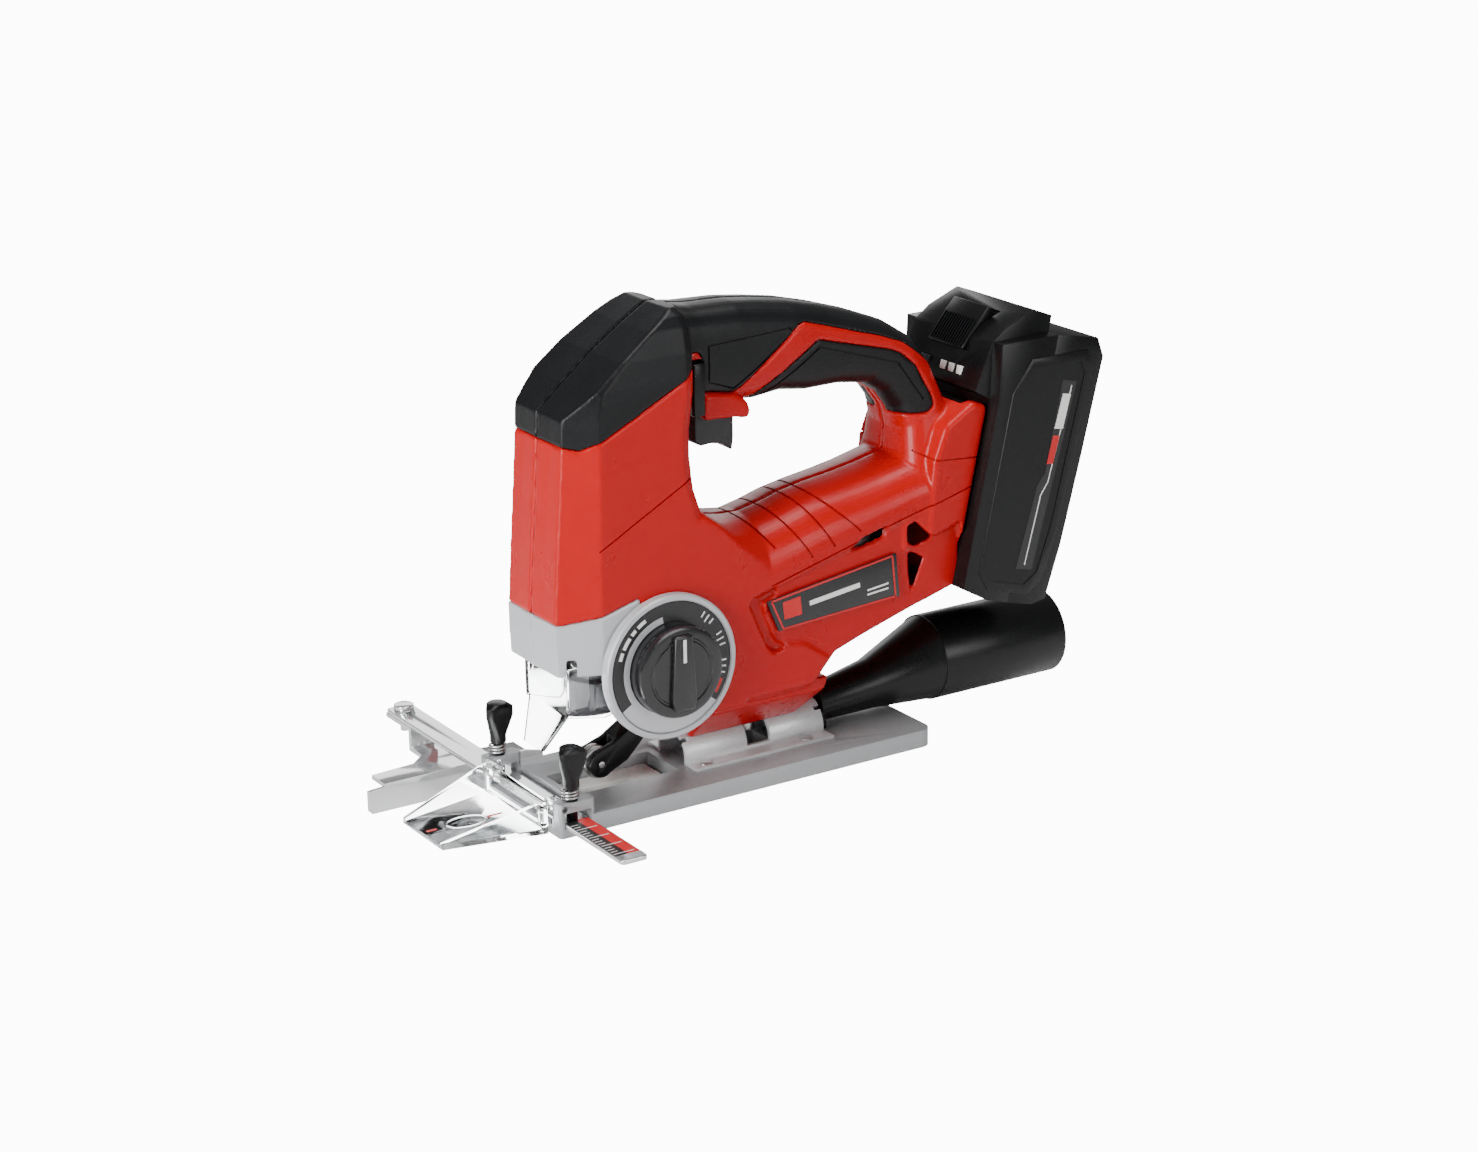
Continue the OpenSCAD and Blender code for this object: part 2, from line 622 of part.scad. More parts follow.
module led_lens() color("aliceblue", 0.6) rod_z(2.4, 70.6, 73, -5, -6);

// ---- battery and its foot ----

module terminal_block() color([0.1, 0.1, 0.1]) in_battery() {
    box([-9.5, -18, 2], [-1.5, 18, 13]);
    for (y = [-12, -4, 4, 12]) box([-6.5, y - 0.5, 12.5], [-3.5, y + 0.5, 23]);
}
module battery_rear_case() color([0.09, 0.09, 0.1]) in_battery() difference() {
    side(-batt_hw, batt_hw)
        polygon([[26, -9.5], [40, -10], [47, -7], [50, 19], [52, 60], [53.5, 104], [48.5, 112], [26, 111.5]]);
    side(-batt_hw + 2, batt_hw - 2)
        polygon([[25, -7.5], [39, -8], [45.2, -5.5], [48, 19], [50, 60], [51.4, 103], [47.5, 110], [25, 109.5]]);
    for (y = [-34, 34], t = [2, 98]) rod_x(1, 20, 44, y, t);
}
module battery_front_case() color([0.11, 0.11, 0.12]) in_battery() difference() {
    union() {
        side(-batt_hw, batt_hw)
            polygon([[gap, -4], [14, -8.7], [26, -9.5], [26, 111.5], [-3.5, 104.8], [gap, 82]]);
        side(-28.5, 28.5)
            polygon([[-8, 82.5], [gap, 80], [gap, 90], [26, 100], [26, 119], [16, 120.4], [2, 111], [-4, 104]]);
        box([-9.2, -23.1, 16], [-4, 23.1, 76.5]);
        box([-9.2, -19.1, 16], [2, 19.1, 76.5]);
    }
    // space for the cells, for the board in the rail block, and the contact slots
    box([2.3, -batt_hw + 2, -1], [27, batt_hw - 2, 100]);
    box([-7.4, -17, 18], [3, 17, 74.5]);
    for (y = [-12, -4, 4, 12]) box([-7, y - 1, 10], [-3, y + 1, 26]);
    for (y = [-34, 34], t = [2, 98]) rod_x(1, 14, 44, y, t);
    // pockets for the latch button, the charge button and the lights
    side(-13, 13)
        polygon([[-12, 97.9], [-1.2, 97.9], [8.2, 106], [10.3, 115.8], [8.5, 119.5], [2, 125], [-15, 110]]);
    box([-9, 8.8, 86.8], [-4.5, 15.2, 91.2]);
    for (y = [-13, -7, -1]) box([-9, y - 2.1, 87], [-5.4, y + 2.1, 91]);
}
module battery_cells() color("dodgerblue") in_battery()
    for (s = [12.6, 33.5], i = [0:4]) rod_y(9.2, -32.5, 32.5, s, 10 + 19.6 * i);
module battery_board() color("green") in_battery() box([-2.6, -17, 27], [-1, 17, 74]);
module battery_latch() color([0.08, 0.08, 0.09]) in_battery() side(-12.7, 12.7)
    polygon([[-7.4, 98.3], [-4.6, 98.3], [4.4, 106.6], [6.5, 115.5], [3.2, 118], [-0.6, 111.8]]);
module latch_spring() color("silver") in_battery() for (y = [-6, 6], i = [0:2])
    translate([-0.1, y, 102.45]) rotate([0, 137.3, 0]) translate([0, 0, 0.5 + i * 0.8])
        rotate_extrude() translate([2, 0]) circle(r = 0.3, $fn = 12);
module charge_button() color([0.15, 0.15, 0.16]) in_battery() box([-7.6, 9, 87], [-5.6, 15, 91]);
module charge_lights() color("lightgray") in_battery()
    for (y = [-13, -7, -1]) box([-7, y - 2, 87.1], [-5.4, y + 2, 90.9]);
module battery_screws() color("silver") in_battery() for (y = [-34, 34], t = [2, 98])
    rod_x(1, 14, 40, y, t);

// ---- assembly ----

base_plate();
bevel_saddle();
saddle_screws();
splinter_insert();
guide_bar();
guide_fence();
guide_pivot_pin();
clamp_knob_left();
clamp_knob_right();
knob_springs();
sight_guide();
sight_guide_pins();
dust_tube();
shell_left();
shell_right();
hood_grip();
handle_pads();
gear_cover();
mode_dial_plate();
name_plates();
shell_screws();
bevel_screw();
bevel_clamp_plate();
motor_can();
motor_end_cap();
motor_rotor();
motor_pinion();
motor_fan();
crank_gear();
crank_pin();
gear_axle();
gearbox_frame();
plunger_bushes();
plunger_rod();
plunger_yoke();
blade_clamp();
clamp_collar();
roller_fork();
fork_pin();
guide_roller();
roller_pin();
blade_guard();
selector_knob();
trigger();
trigger_spring();
trigger_switch();
lock_off_button();
control_board();
terminal_block();
led_lamp();
led_lens();
battery_rear_case();
battery_front_case();
battery_cells();
battery_board();
battery_latch();
latch_spring();
charge_button();
charge_lights();
battery_screws();
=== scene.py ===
import json
import math

import bpy
from mathutils import Matrix, Vector
from mathutils.bvhtree import BVHTree

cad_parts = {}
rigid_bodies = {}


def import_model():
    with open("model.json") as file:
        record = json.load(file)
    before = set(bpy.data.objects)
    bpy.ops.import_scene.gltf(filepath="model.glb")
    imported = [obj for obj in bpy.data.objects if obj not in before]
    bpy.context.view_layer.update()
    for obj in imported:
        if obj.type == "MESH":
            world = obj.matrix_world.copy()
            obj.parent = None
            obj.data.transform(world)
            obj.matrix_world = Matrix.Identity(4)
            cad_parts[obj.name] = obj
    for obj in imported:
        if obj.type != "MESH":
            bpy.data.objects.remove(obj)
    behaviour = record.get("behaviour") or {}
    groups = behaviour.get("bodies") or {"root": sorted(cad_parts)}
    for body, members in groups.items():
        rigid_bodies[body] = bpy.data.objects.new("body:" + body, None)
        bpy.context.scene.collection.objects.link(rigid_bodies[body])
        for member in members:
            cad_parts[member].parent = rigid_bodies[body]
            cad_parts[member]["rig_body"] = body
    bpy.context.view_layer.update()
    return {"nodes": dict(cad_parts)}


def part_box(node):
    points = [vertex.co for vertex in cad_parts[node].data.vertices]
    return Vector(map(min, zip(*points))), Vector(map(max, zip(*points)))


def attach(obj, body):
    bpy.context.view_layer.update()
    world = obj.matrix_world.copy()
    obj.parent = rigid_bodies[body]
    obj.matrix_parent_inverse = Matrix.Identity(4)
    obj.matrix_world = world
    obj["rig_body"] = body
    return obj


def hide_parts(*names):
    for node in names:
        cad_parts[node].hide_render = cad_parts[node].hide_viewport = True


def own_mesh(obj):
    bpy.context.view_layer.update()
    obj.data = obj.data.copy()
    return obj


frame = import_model()

# ---- Camera and studio ----
# A long lens in front of the tool's left side, a pale floor, and a low pale block under the
# shoe, because the edge guide hangs below the sole and needs the room.
LEFT, ABOVE, ROLL = math.radians(-32.332), math.radians(18.387), math.radians(-0.8527)
DISTANCE, ASIDE, UP_SHIFT = 1.3572, -0.06155, -0.09342
SENSOR_WIDTH = 36
LENS_LENGTH = 3174.37 / 1478  # in widths of the view
back = Vector((math.sin(LEFT) * math.cos(ABOVE), -math.cos(LEFT) * math.cos(ABOVE), math.sin(ABOVE)))
level = Vector((math.cos(LEFT), math.sin(LEFT), 0))
rise = back.cross(level)
right = math.cos(ROLL) * level + math.sin(ROLL) * rise
upward = -math.sin(ROLL) * level + math.cos(ROLL) * rise
place = -ASIDE * right - UP_SHIFT * upward + DISTANCE * back
camera_data = bpy.data.cameras.new("studio_camera")
camera_data.sensor_width = SENSOR_WIDTH
camera_data.lens = SENSOR_WIDTH * LENS_LENGTH
camera_data.clip_end = 20
camera = bpy.data.objects.new("studio_camera", camera_data)
bpy.context.scene.collection.objects.link(camera)
camera.matrix_world = Matrix([
    [right.x, upward.x, back.x, place.x], [right.y, upward.y, back.y, place.y],
    [right.z, upward.z, back.z, place.z], [0, 0, 0, 1]])
bpy.context.scene.camera = camera


def nothing_selected():
    if bpy.context.object and bpy.context.object.mode != "OBJECT":
        bpy.ops.object.mode_set(mode="OBJECT")
    bpy.ops.object.select_all(action="DESELECT")


def active(piece):
    nothing_selected()
    piece.select_set(True)
    bpy.context.view_layer.objects.active = piece
    return piece


def nodes_of(name):
    material = bpy.data.materials.new(name)
    material.use_nodes = True
    tree = material.node_tree
    return material, tree, tree.nodes["Principled BSDF"]


FLOOR_Z = -0.0184
GAP = 0.0004  # between the block's top and the sole
PAPER_GLOW, GLOW_SHARE = 14, 0.88  # the floor as the camera sees it, near white
SKY_SEEN, SKY_LIGHT = 12, 0.2  # what the camera sees on top of the light it gives
nothing_selected()
bpy.ops.mesh.primitive_plane_add(size=8, location=(0, 0, FLOOR_Z))
floor = bpy.context.object
floor.name = "studio_floor"
bpy.ops.mesh.primitive_cube_add(size=1, location=(0.058, 0, FLOOR_Z / 2 - GAP / 2))
riser = bpy.context.object
riser.name = "studio_block"
riser.scale = (0.184, 0.062, -FLOOR_Z - GAP)
paper, paper_tree, paper_shader = nodes_of("studio_paper")
paper_shader.inputs["Base Color"].default_value = (0.8, 0.8, 0.8, 1)
paper_shader.inputs["Roughness"].default_value = 0.9
glow = paper_tree.nodes.new("ShaderNodeEmission")
glow.inputs["Strength"].default_value = PAPER_GLOW
seen = paper_tree.nodes.new("ShaderNodeLightPath")
through = paper_tree.nodes.new("ShaderNodeMath")
through.operation = "MAXIMUM"
share = paper_tree.nodes.new("ShaderNodeMath")
share.operation = "MULTIPLY"
share.inputs[1].default_value = GLOW_SHARE
both = paper_tree.nodes.new("ShaderNodeMixShader")
paper_tree.links.new(seen.outputs["Is Camera Ray"], through.inputs[0])
paper_tree.links.new(seen.outputs["Is Transmission Ray"], through.inputs[1])
paper_tree.links.new(through.outputs["Value"], share.inputs[0])
paper_tree.links.new(share.outputs["Value"], both.inputs["Fac"])
paper_tree.links.new(paper_shader.outputs["BSDF"], both.inputs[1])
paper_tree.links.new(glow.outputs["Emission"], both.inputs[2])
paper_tree.links.new(both.outputs["Shader"], paper_tree.nodes["Material Output"].inputs["Surface"])
for thing in (floor, riser):
    thing.data.materials.append(paper)

world = bpy.data.worlds.new("studio")
bpy.context.scene.world = world
world.use_nodes = True
world.node_tree.nodes["Background"].inputs["Color"].default_value = (1, 1, 1, 1)
seen = world.node_tree.nodes.new("ShaderNodeLightPath")
sky = world.node_tree.nodes.new("ShaderNodeMath")
sky.operation = "MULTIPLY_ADD"
sky.inputs[1].default_value, sky.inputs[2].default_value = SKY_SEEN, SKY_LIGHT
world.node_tree.links.new(seen.outputs["Is Camera Ray"], sky.inputs[0])
world.node_tree.links.new(sky.outputs["Value"], world.node_tree.nodes["Background"].inputs["Strength"])


def soft_light(name, spot, aim, size, watts):
    lamp = bpy.data.lights.new(name, "AREA")
    lamp.shape = "RECTANGLE"
    lamp.size, lamp.size_y = size
    lamp.energy = watts
    holder = bpy.data.objects.new(name, lamp)
    bpy.context.scene.collection.objects.link(holder)
    holder.location = spot
    holder.rotation_euler = (Vector(spot) - Vector(aim)).to_track_quat("Z", "Y").to_euler()


soft_light("window_left", (-1.15, -0.35, 0.45), (0, 0, 0.1), (0.5, 0.9), 26)
soft_light("window_top", (0.15, -0.1, 1.3), (0.08, 0, 0.1), (1.0, 0.6), 15)
soft_light("window_back", (0.7, 1.4, 0.5), (0.08, 0, 0.1), (0.9, 0.7), 4)
soft_light("window_front", (0.5, -1.4, 0.5), (0.1, 0, 0.1), (0.7, 0.5), 6)

# ---- Housing halves ----
# Two glass-filled nylon mouldings that meet on the middle plane, red, with a fine spark
# grain. The left one is lofted, joined, hollowed and cut for what is fixed to it, then its
# skin is evened out; the right one is the same moulding on the other side.
MM = 0.001


def slab(name, outline, axis, low, high):
    """A flat outline raised along an axis. Y takes (x, z), Z takes (x, y), X takes (y, z)."""
    nothing_selected()
    bpy.ops.mesh.primitive_circle_add(vertices=len(outline), radius=1, fill_type="NGON")
    piece = bpy.context.object
    piece.name = name
    for vertex, (a, b) in zip(piece.data.vertices, outline):
        spot = {"X": (low, a, b), "Y": (a, low, b), "Z": (a, b, low)}[axis]
        vertex.co = Vector(spot) * MM
    push = Vector({"X": (1, 0, 0), "Y": (0, 1, 0), "Z": (0, 0, 1)}[axis]) * (high - low) * MM
    bpy.ops.object.mode_set(mode="EDIT")
    bpy.ops.mesh.select_all(action="SELECT")
    bpy.ops.mesh.extrude_region_move(TRANSFORM_OT_translate={"value": push})
    bpy.ops.mesh.select_all(action="SELECT")
    bpy.ops.mesh.normals_make_consistent(inside=False)
    bpy.ops.object.mode_set(mode="OBJECT")
    return piece


def loft(name, rings):
    """A skin drawn over rings of points in millimetres, closed at both ends."""
    nothing_selected()
    count, rows = len(rings[0]), len(rings)
    bpy.ops.mesh.primitive_grid_add(x_subdivisions=count, y_subdivisions=rows - 1, size=1)
    piece = bpy.context.object
    piece.name = name
    for row, ring in enumerate(rings):
        for i in range(count + 1):
            piece.data.vertices[row * (count + 1) + i].co = Vector(ring[i % count]) * MM
    bpy.ops.object.mode_set(mode="EDIT")
    bpy.ops.mesh.select_all(action="SELECT")
    bpy.ops.mesh.remove_doubles(threshold=1e-7)
    bpy.ops.mesh.select_all(action="SELECT")
    bpy.ops.mesh.fill_holes(sides=0)
    bpy.ops.mesh.select_all(action="SELECT")
    bpy.ops.mesh.normals_make_consistent(inside=False)
    bpy.ops.object.mode_set(mode="OBJECT")
    centre = sum((vertex.co for vertex in piece.data.vertices), Vector()) / len(piece.data.vertices)
    if sum((face.center - centre).dot(face.normal) * face.area for face in piece.data.polygons) < 0:
        piece.data.flip_normals()
    return piece


def joined(name, pieces):
    nothing_selected()
    for piece in pieces:
        piece.select_set(True)
    bpy.context.view_layer.objects.active = pieces[0]
    if len(pieces) > 1:
        bpy.ops.object.join()
    pieces[0].name = name
    return pieces[0]


def mirror_copy(piece, name):
    """The same piece on the other side of the middle plane, with a mesh of its own."""
    twin = copy_of(piece, name)
    for vertex in twin.data.vertices:
        vertex.co.y *= -1
    twin.data.flip_normals()
    return twin


def copy_of(piece, name):
    twin = piece.copy()
    twin.data = piece.data.copy()
    twin.name = name
    bpy.context.scene.collection.objects.link(twin)
    return twin


def carve(piece, tool, how="DIFFERENCE"):
    """One boolean with a tool that is used up."""
    active(piece)
    step = piece.modifiers.new("carve", "BOOLEAN")
    step.operation, step.object, step.solver = how, tool, "MANIFOLD"
    bpy.ops.object.modifier_apply(modifier=step.name)
    bpy.data.objects.remove(tool)
    return piece


HOLD = 0.35 * MM  # a smoothed point nearer to the drawn surface than this is pulled back


def melt(piece, grain):
    """The carved solid made one skin of even quads, its edges eased by smoothing."""
    active(piece)
    drawn = BVHTree.FromPolygons([vertex.co.copy() for vertex in piece.data.vertices],
                                 [list(face.vertices) for face in piece.data.polygons])
    step = piece.modifiers.new("melt", "REMESH")
    step.mode, step.voxel_size = "VOXEL", grain * MM
    bpy.ops.object.modifier_apply(modifier=step.name)
    step = piece.modifiers.new("ease", "SMOOTH")
    step.factor, step.iterations = 0.5, 6
    bpy.ops.object.modifier_apply(modifier=step.name)
    for vertex in piece.data.vertices:
        spot, normal, index, away = drawn.find_nearest(vertex.co)
        if away < HOLD:
            vertex.co = vertex.co.lerp(spot, (1 - (away / HOLD) ** 2) ** 2)
    return piece


def eased(piece, width, segments=2, angle=30, smooth=35):
    """Edges sharper than the angle get a small radius, then the skin is shaded smooth."""
    active(piece)
    step = piece.modifiers.new("radius", "BEVEL")
    step.width, step.segments, step.limit_method = width * MM, segments, "ANGLE"
    step.angle_limit = math.radians(angle)
    bpy.ops.object.modifier_apply(modifier=step.name)
    bpy.ops.object.shade_smooth_by_angle(angle=math.radians(smooth))
    return piece


def rounded_ring(centre, across, up, power, count=44):
    """Points of a rounded rectangle: across and up are its half-axes as vectors."""
    ring = []
    for i in range(count):
        turn = 2 * math.pi * (i + 0.5) / count
        c, s = math.cos(turn), math.sin(turn)
        a = math.copysign(abs(c) ** (2 / power), c)
        b = math.copysign(abs(s) ** (2 / power), s)
        ring.append(tuple(centre[k] + across[k] * a + up[k] * b for k in range(3)))
    return ring


def head_rings(inset=0):
    """Level sections: height, front face and its half width, chamfer end, half width, rear."""
    rings = []
    for z, xf, yf, xc, w, xr in [
            (64.6, -27.4, 20.1, -9.6, 28, 52), (76, -27.8, 20, -9.8, 28, 52),
            (88, -27.8, 19.9, -9.8, 28, 50), (110, -26.2, 19.8, -9.5, 28, 46),
            (127.5, -24.8, 19.7, -9.2, 28, 40.5), (137, -24, 19.7, -9, 28, 37.4),
            (150, -23, 19.6, -8.8, 28, 36), (162.4, -22, 19.5, -8.4, 28, 36),
            (173.3, -21.6, 19.4, -8.2, 28, 37.6), (178.6, -15.4, 22.8, -7.4, 27.9, 38.3),
            (184, -9.1, 26, -5.6, 27.4, 38.8), (194.7, 4, 25, 5.6, 26, 39.4),
            (204.8, 18.6, 22.4, 20, 23.6, 39.5), (209, 25.4, 20.4, 26.6, 21.6, 38.5),
            (212.2, 31, 17.5, 31.6, 18.2, 36)]:
        xf, yf, xc, w, xr = xf + inset, yf - inset / 2, xc + inset / 2, w - inset, xr - inset
        half = [(xf - 0.5, 0), (xf, yf * 0.55), (xf + 0.1, yf), (xc, w), (xr - 5, w), (xr - 1.4, w - 1.6),
                (xr, w - 6)]
        ring = [(x, -y, z) for x, y in half] + [(x, y, z) for x, y in reversed(half[1:])]
        rings.append(ring)
    return rings


def body_rings(inset=0):
    """Sections across the motor housing: X, bottom, shoulder, top and half width."""
    rings = []
    for x, bottom, shoulder, top, half in [
            (30, 36, 122, 134, 28), (41, 36, 121, 128, 28), (47, 36, 119.5, 121, 28),
            (56, 36, 109, 116, 28), (64, 36, 100, 114.6, 28), (73.2, 36, 87.2, 114.2, 28),
            (85.8, 36, 90.4, 117, 28), (94.7, 36.2, 93, 119.6, 28), (107, 49.6, 96.4, 121.8, 28),
            (122, 54.6, 100.3, 123.8, 28), (134, 58.2, 103.4, 125.8, 28), (148, 62.4, 107, 129, 28.2),
            (160, 66, 110, 131, 29), (172, 69.6, 113.2, 134, 29.6)]:
        bottom, top, half = bottom + inset, top - inset, half - inset
        side = [(0, bottom), (half * 0.6, bottom), (half - 3, bottom + 0.6), (half, bottom + 4),
                (half, (bottom + shoulder) / 2), (half, shoulder)]
        for i in range(1, 15):
            turn = math.radians(90 * i / 14)
            side.append((half * math.cos(turn) ** 0.85,
                         shoulder + (top - shoulder) * math.sin(turn) ** 0.8))
        side[-1] = (0, top)
        ring = [(x, -y, z) for y, z in side] + [(x, y, z) for y, z in reversed(side[1:-1])]
        rings.append(ring)
    return rings


def handle_rings(inset=0):
    """Sections of the grip, each from a point on its underside to one on its top."""
    rings = []
    for low, high, half, power in [
            ((34, 160), (33, 209.6), 19.5, 3.2), ((42, 166.5), (41, 210.2), 17.8, 3.2),
            ((48, 167.6), (47.5, 209.2), 17.5, 3.4), ((66, 165.6), (67.1, 208.5), 17.4, 3.3),
            ((77, 164.6), (80, 207), 17.3, 3.1), ((90, 166), (96, 204.4), 17.2, 3),
            ((103, 164.1), (112, 200.4), 17.2, 2.9), ((120, 164.4), (129, 195.1), 17.2, 2.9),
            ((134, 162.4), (146, 188.5), 17.3, 2.8), ((142, 157.4), (158.4, 180.5), 17.6, 2.8),
            ((147.8, 149.6), (167, 168.5), 18.2, 2.8), ((150, 140.5), (173.5, 154), 19.4, 2.8),
            ((149, 129), (177, 140), 22, 3), ((146, 116), (178.6, 124), 26, 3.2)]:
        mid = ((low[0] + high[0]) / 2, 0, (low[1] + high[1]) / 2)
        length = math.dist(low, high) / 2
        scale = (length - inset) / length
        rings.append(rounded_ring(mid, (0, half - inset, 0),
                                  ((high[0] - low[0]) / 2 * scale, 0, (high[1] - low[1]) / 2 * scale),
                                  power))
    return rings


TILT_OF_FOOT = math.radians(12.5)
FOOT = Vector((169.2, 0, 73.9))


def foot_spot(s, t):
    """Side-view point from a battery-frame pair: s through the pack, t up along it."""
    return (FOOT.x + s * math.cos(TILT_OF_FOOT) + t * math.sin(TILT_OF_FOOT),
            FOOT.z + t * math.cos(TILT_OF_FOOT) - s * math.sin(TILT_OF_FOOT))


def housing_half(inset, inner_edge):
    """The left side of the housing as one closed solid, less an inset all round."""
    solid = loft("housing", head_rings(inset))
    carve(solid, loft("body", body_rings(inset)), "UNION")
    carve(solid, loft("grip", handle_rings(inset)), "UNION")
    toe = [(-8 + inset, 65), (14 + inset, 36 + inset), (60, 36.2 + inset), (60, 70), (-8 + inset, 70)]
    carve(solid, slab("toe", toe, "Y", -27.9 + inset, 27.9 - inset), "UNION")
    sole = [(152 + inset, 84), (161, 67.6 + inset), (168 - inset, 69.4 + inset),
            foot_spot(-0.3 - inset, -0.4 + inset), foot_spot(-0.3 - inset, 77 - inset), (178, 152 - inset),
            (163, 143 - inset), (157 + inset, 128)]
    foot = slab("foot", sole, "Y", -29.6 + inset, 29.6 - inset)
    carve(solid, eased(foot, 2.2, 3, 20), "UNION")
    return carve(solid, slab("side", [(-60, 0), (260, 0), (260, 260), (-60, 260)], "Y", -60, inner_edge),
                 "INTERSECT")


def pressed(solid, outline, low, high, how="DIFFERENCE"):
    return carve(solid, slab("press", outline, "Y", low, high), how)


def rod(radius, depth, spot, count=32, lean=0):
    """A plain round bar about a spot, upright unless it leans."""
    nothing_selected()
    bpy.ops.mesh.primitive_cylinder_add(vertices=count, radius=radius * MM, depth=depth * MM,
                                        location=[c * MM for c in spot], rotation=(0, lean, 0))
    bpy.ops.object.transform_apply(location=True, rotation=True, scale=True)
    return bpy.context.object


WALL = 3.4
left = housing_half(0, -0.1)
carve(left, housing_half(WALL, 5))
battery_channel = [foot_spot(-9.5, 2), foot_spot(-3.7, 2), foot_spot(-3.7, 90), foot_spot(-9.5, 90)]
channel_mouth = [foot_spot(-9, 2), foot_spot(4, 2), foot_spot(4, 90), foot_spot(-9, 90)]
lining = slab("lining", [foot_spot(-12.5, 0), foot_spot(-0.6, 0), foot_spot(-0.6, 75),
                         foot_spot(-12.5, 70)], "Y", -27, -0.1)
carve(left, lining, "UNION")
cradle = slab("cradle", [(-9.2, 19.5), (-0.1, 19.5), (-0.1, 39), (-23, 39), (-23, 33.6)], "X", 42, 105)
pressed(cradle, [(40, 18), (96, 18), (105, 38), (105, 45), (40, 45)], -30, 30, "INTERSECT")
carve(left, cradle, "UNION")
carve(left, rod(12.1, 90, (75, 0, 10.5), 96, math.pi / 2))  # room for the bevel saddle
carve(left, rod(2.7, 30, (76, 0, 22)))  # and for the bevel screw
guard_room = [(-23.6, 20), (14, 20), (14, 72), (-23.6, 72)]
fork_room = [(12, 20), (31, 20), (31, 72), (12, 72)]
trigger_room = [(47.7, 140), (67.7, 140), (67.7, 178), (47.7, 178)]
lock_slot = [(40.2, 163), (48, 163), (48, 188.4), (40.2, 188.4)]
for outline, half in ((guard_room, 23), (fork_room, 7.6), (trigger_room, 9.4), (lock_slot, 60),
                      (battery_channel, 23.4), (channel_mouth, 19.4)):
    pressed(left, outline, -half, 5)

# ---- Hood, grip pads and gearbox cover ----
# The hood and the pads are black rubber moulded over the nylon, and the cover is a painted
# casting round the selector. Each is cut from the housing's own skin along its edge line,
# so it meets the red moulding there.
hood_line = [(-40, 158.4), (-22, 162.2), (-15.4, 160.6), (-8.6, 163.6), (34.8, 184.4), (40.4, 190.2),
             (42.4, 191.6), (45.2, 191.4), (47, 189), (47.4, 175), (48.4, 173.8), (63.1, 171.2),
             (66, 172.6), (95.8, 195.4), (99.4, 196.2), (138, 184.6), (150, 180), (165.4, 168.6),
             (176, 172), (168, 196), (120, 222), (-40, 226)]
pad_line = [(72.6, 160), (70.6, 163), (71.6, 166.4), (105.6, 187.8), (141.6, 178.4), (147.8, 175.8),
            (155.2, 169.3), (163.2, 154), (163.6, 150.6), (160.6, 148), (146, 147.6), (143, 148.4),
            (130, 150), (100, 155)]
cover_line = [(-45, 30), (-45, 93.5), (-27.5, 87.4), (-24.8, 87), (-10.4, 89.4), (8.3, 94.6), (12, 60),
              (12, 30)]
hood = carve(copy_of(left, "hood_skin"), slab("hood_edge", hood_line, "Y", -40, 40), "INTERSECT")
pads = carve(copy_of(left, "grip_pads"), slab("pad_edge", pad_line, "Y", -40, -4), "INTERSECT")
cover = carve(copy_of(left, "cover_skin"), slab("cover_edge", cover_line, "Y", -40, 40), "INTERSECT")
for outline, edge in ((hood_line, 40), (pad_line, -4), (cover_line, 40)):
    pressed(left, outline, -40, edge)

# ---- Relief of the sides ----
# Pressed and scored into the mouldings: a label field, a C-shaped recess, three air slots,
# the lip behind the lock-off button, and shallow grooves across the red and the rubber.
label_field = [(72, 85.2), (143.4, 104.6), (142.6, 90.8), (156.4, 94.6), (171, 99), (176, 70), (160, 62),
               (140, 57), (106, 47), (90, 58), (78, 60), (70, 72)]
c_recess = [(76.2, 87.3), (73.6, 85.9), (63.4, 83.4), (62.2, 80.9), (65.9, 71.6), (70.8, 60.4),
            (74.8, 56.9), (81, 57.8), (78.5, 60.6), (74.9, 63.2), (70.5, 74), (69, 79), (70, 80.6),
            (76.2, 82.4)]
pressed(left, label_field, -40, -26.9)
pressed(left, c_recess, -40, -25)
for outline in ([(112.5, 94.8), (120.6, 100.2), (134.2, 103.6), (132.2, 97.6), (124, 95.8)],
                [(143.6, 101.3), (148.4, 102.6), (157.6, 93.6), (148.6, 91.2), (144, 92.8)],
                [(144.6, 89.9), (153, 85.2), (146, 68.3)]):
    pressed(left, outline, -40, -24.8)

lip = slab("lip", [(48.4, 172.5), (63.1, 170.5), (69.5, 167.2), (71.4, 161.7), (69.6, 159.2), (63.4, 160.7),
                   (48.4, 161.4)], "Y", -17, -9.6)
carve(left, eased(lip, 1.2, 2, 20), "UNION")


def strip(a, b, width=0.9):
    """The outline of a straight band between two points of the side view."""
    along = Vector((b[0] - a[0], b[1] - a[1])).normalized() * width / 2
    return [(a[0] - along.y, a[1] + along.x), (b[0] - along.y, b[1] + along.x),
            (b[0] + along.y, b[1] - along.x), (a[0] + along.y, a[1] - along.x)]


def scored(skin, lines, core, width=0.9, inner=0):
    """Shallow grooves along the lines, as deep as the core lies under the skin."""
    for line in lines:
        for a, b in zip(line, line[1:]):
            cutter = slab("scribe", strip(a, b, width), "Y", -34, inner)
            carve(cutter, copy_of(core, "core"))
            if len(cutter.data.polygons):
                carve(skin, cutter)
            else:
                bpy.data.objects.remove(cutter)


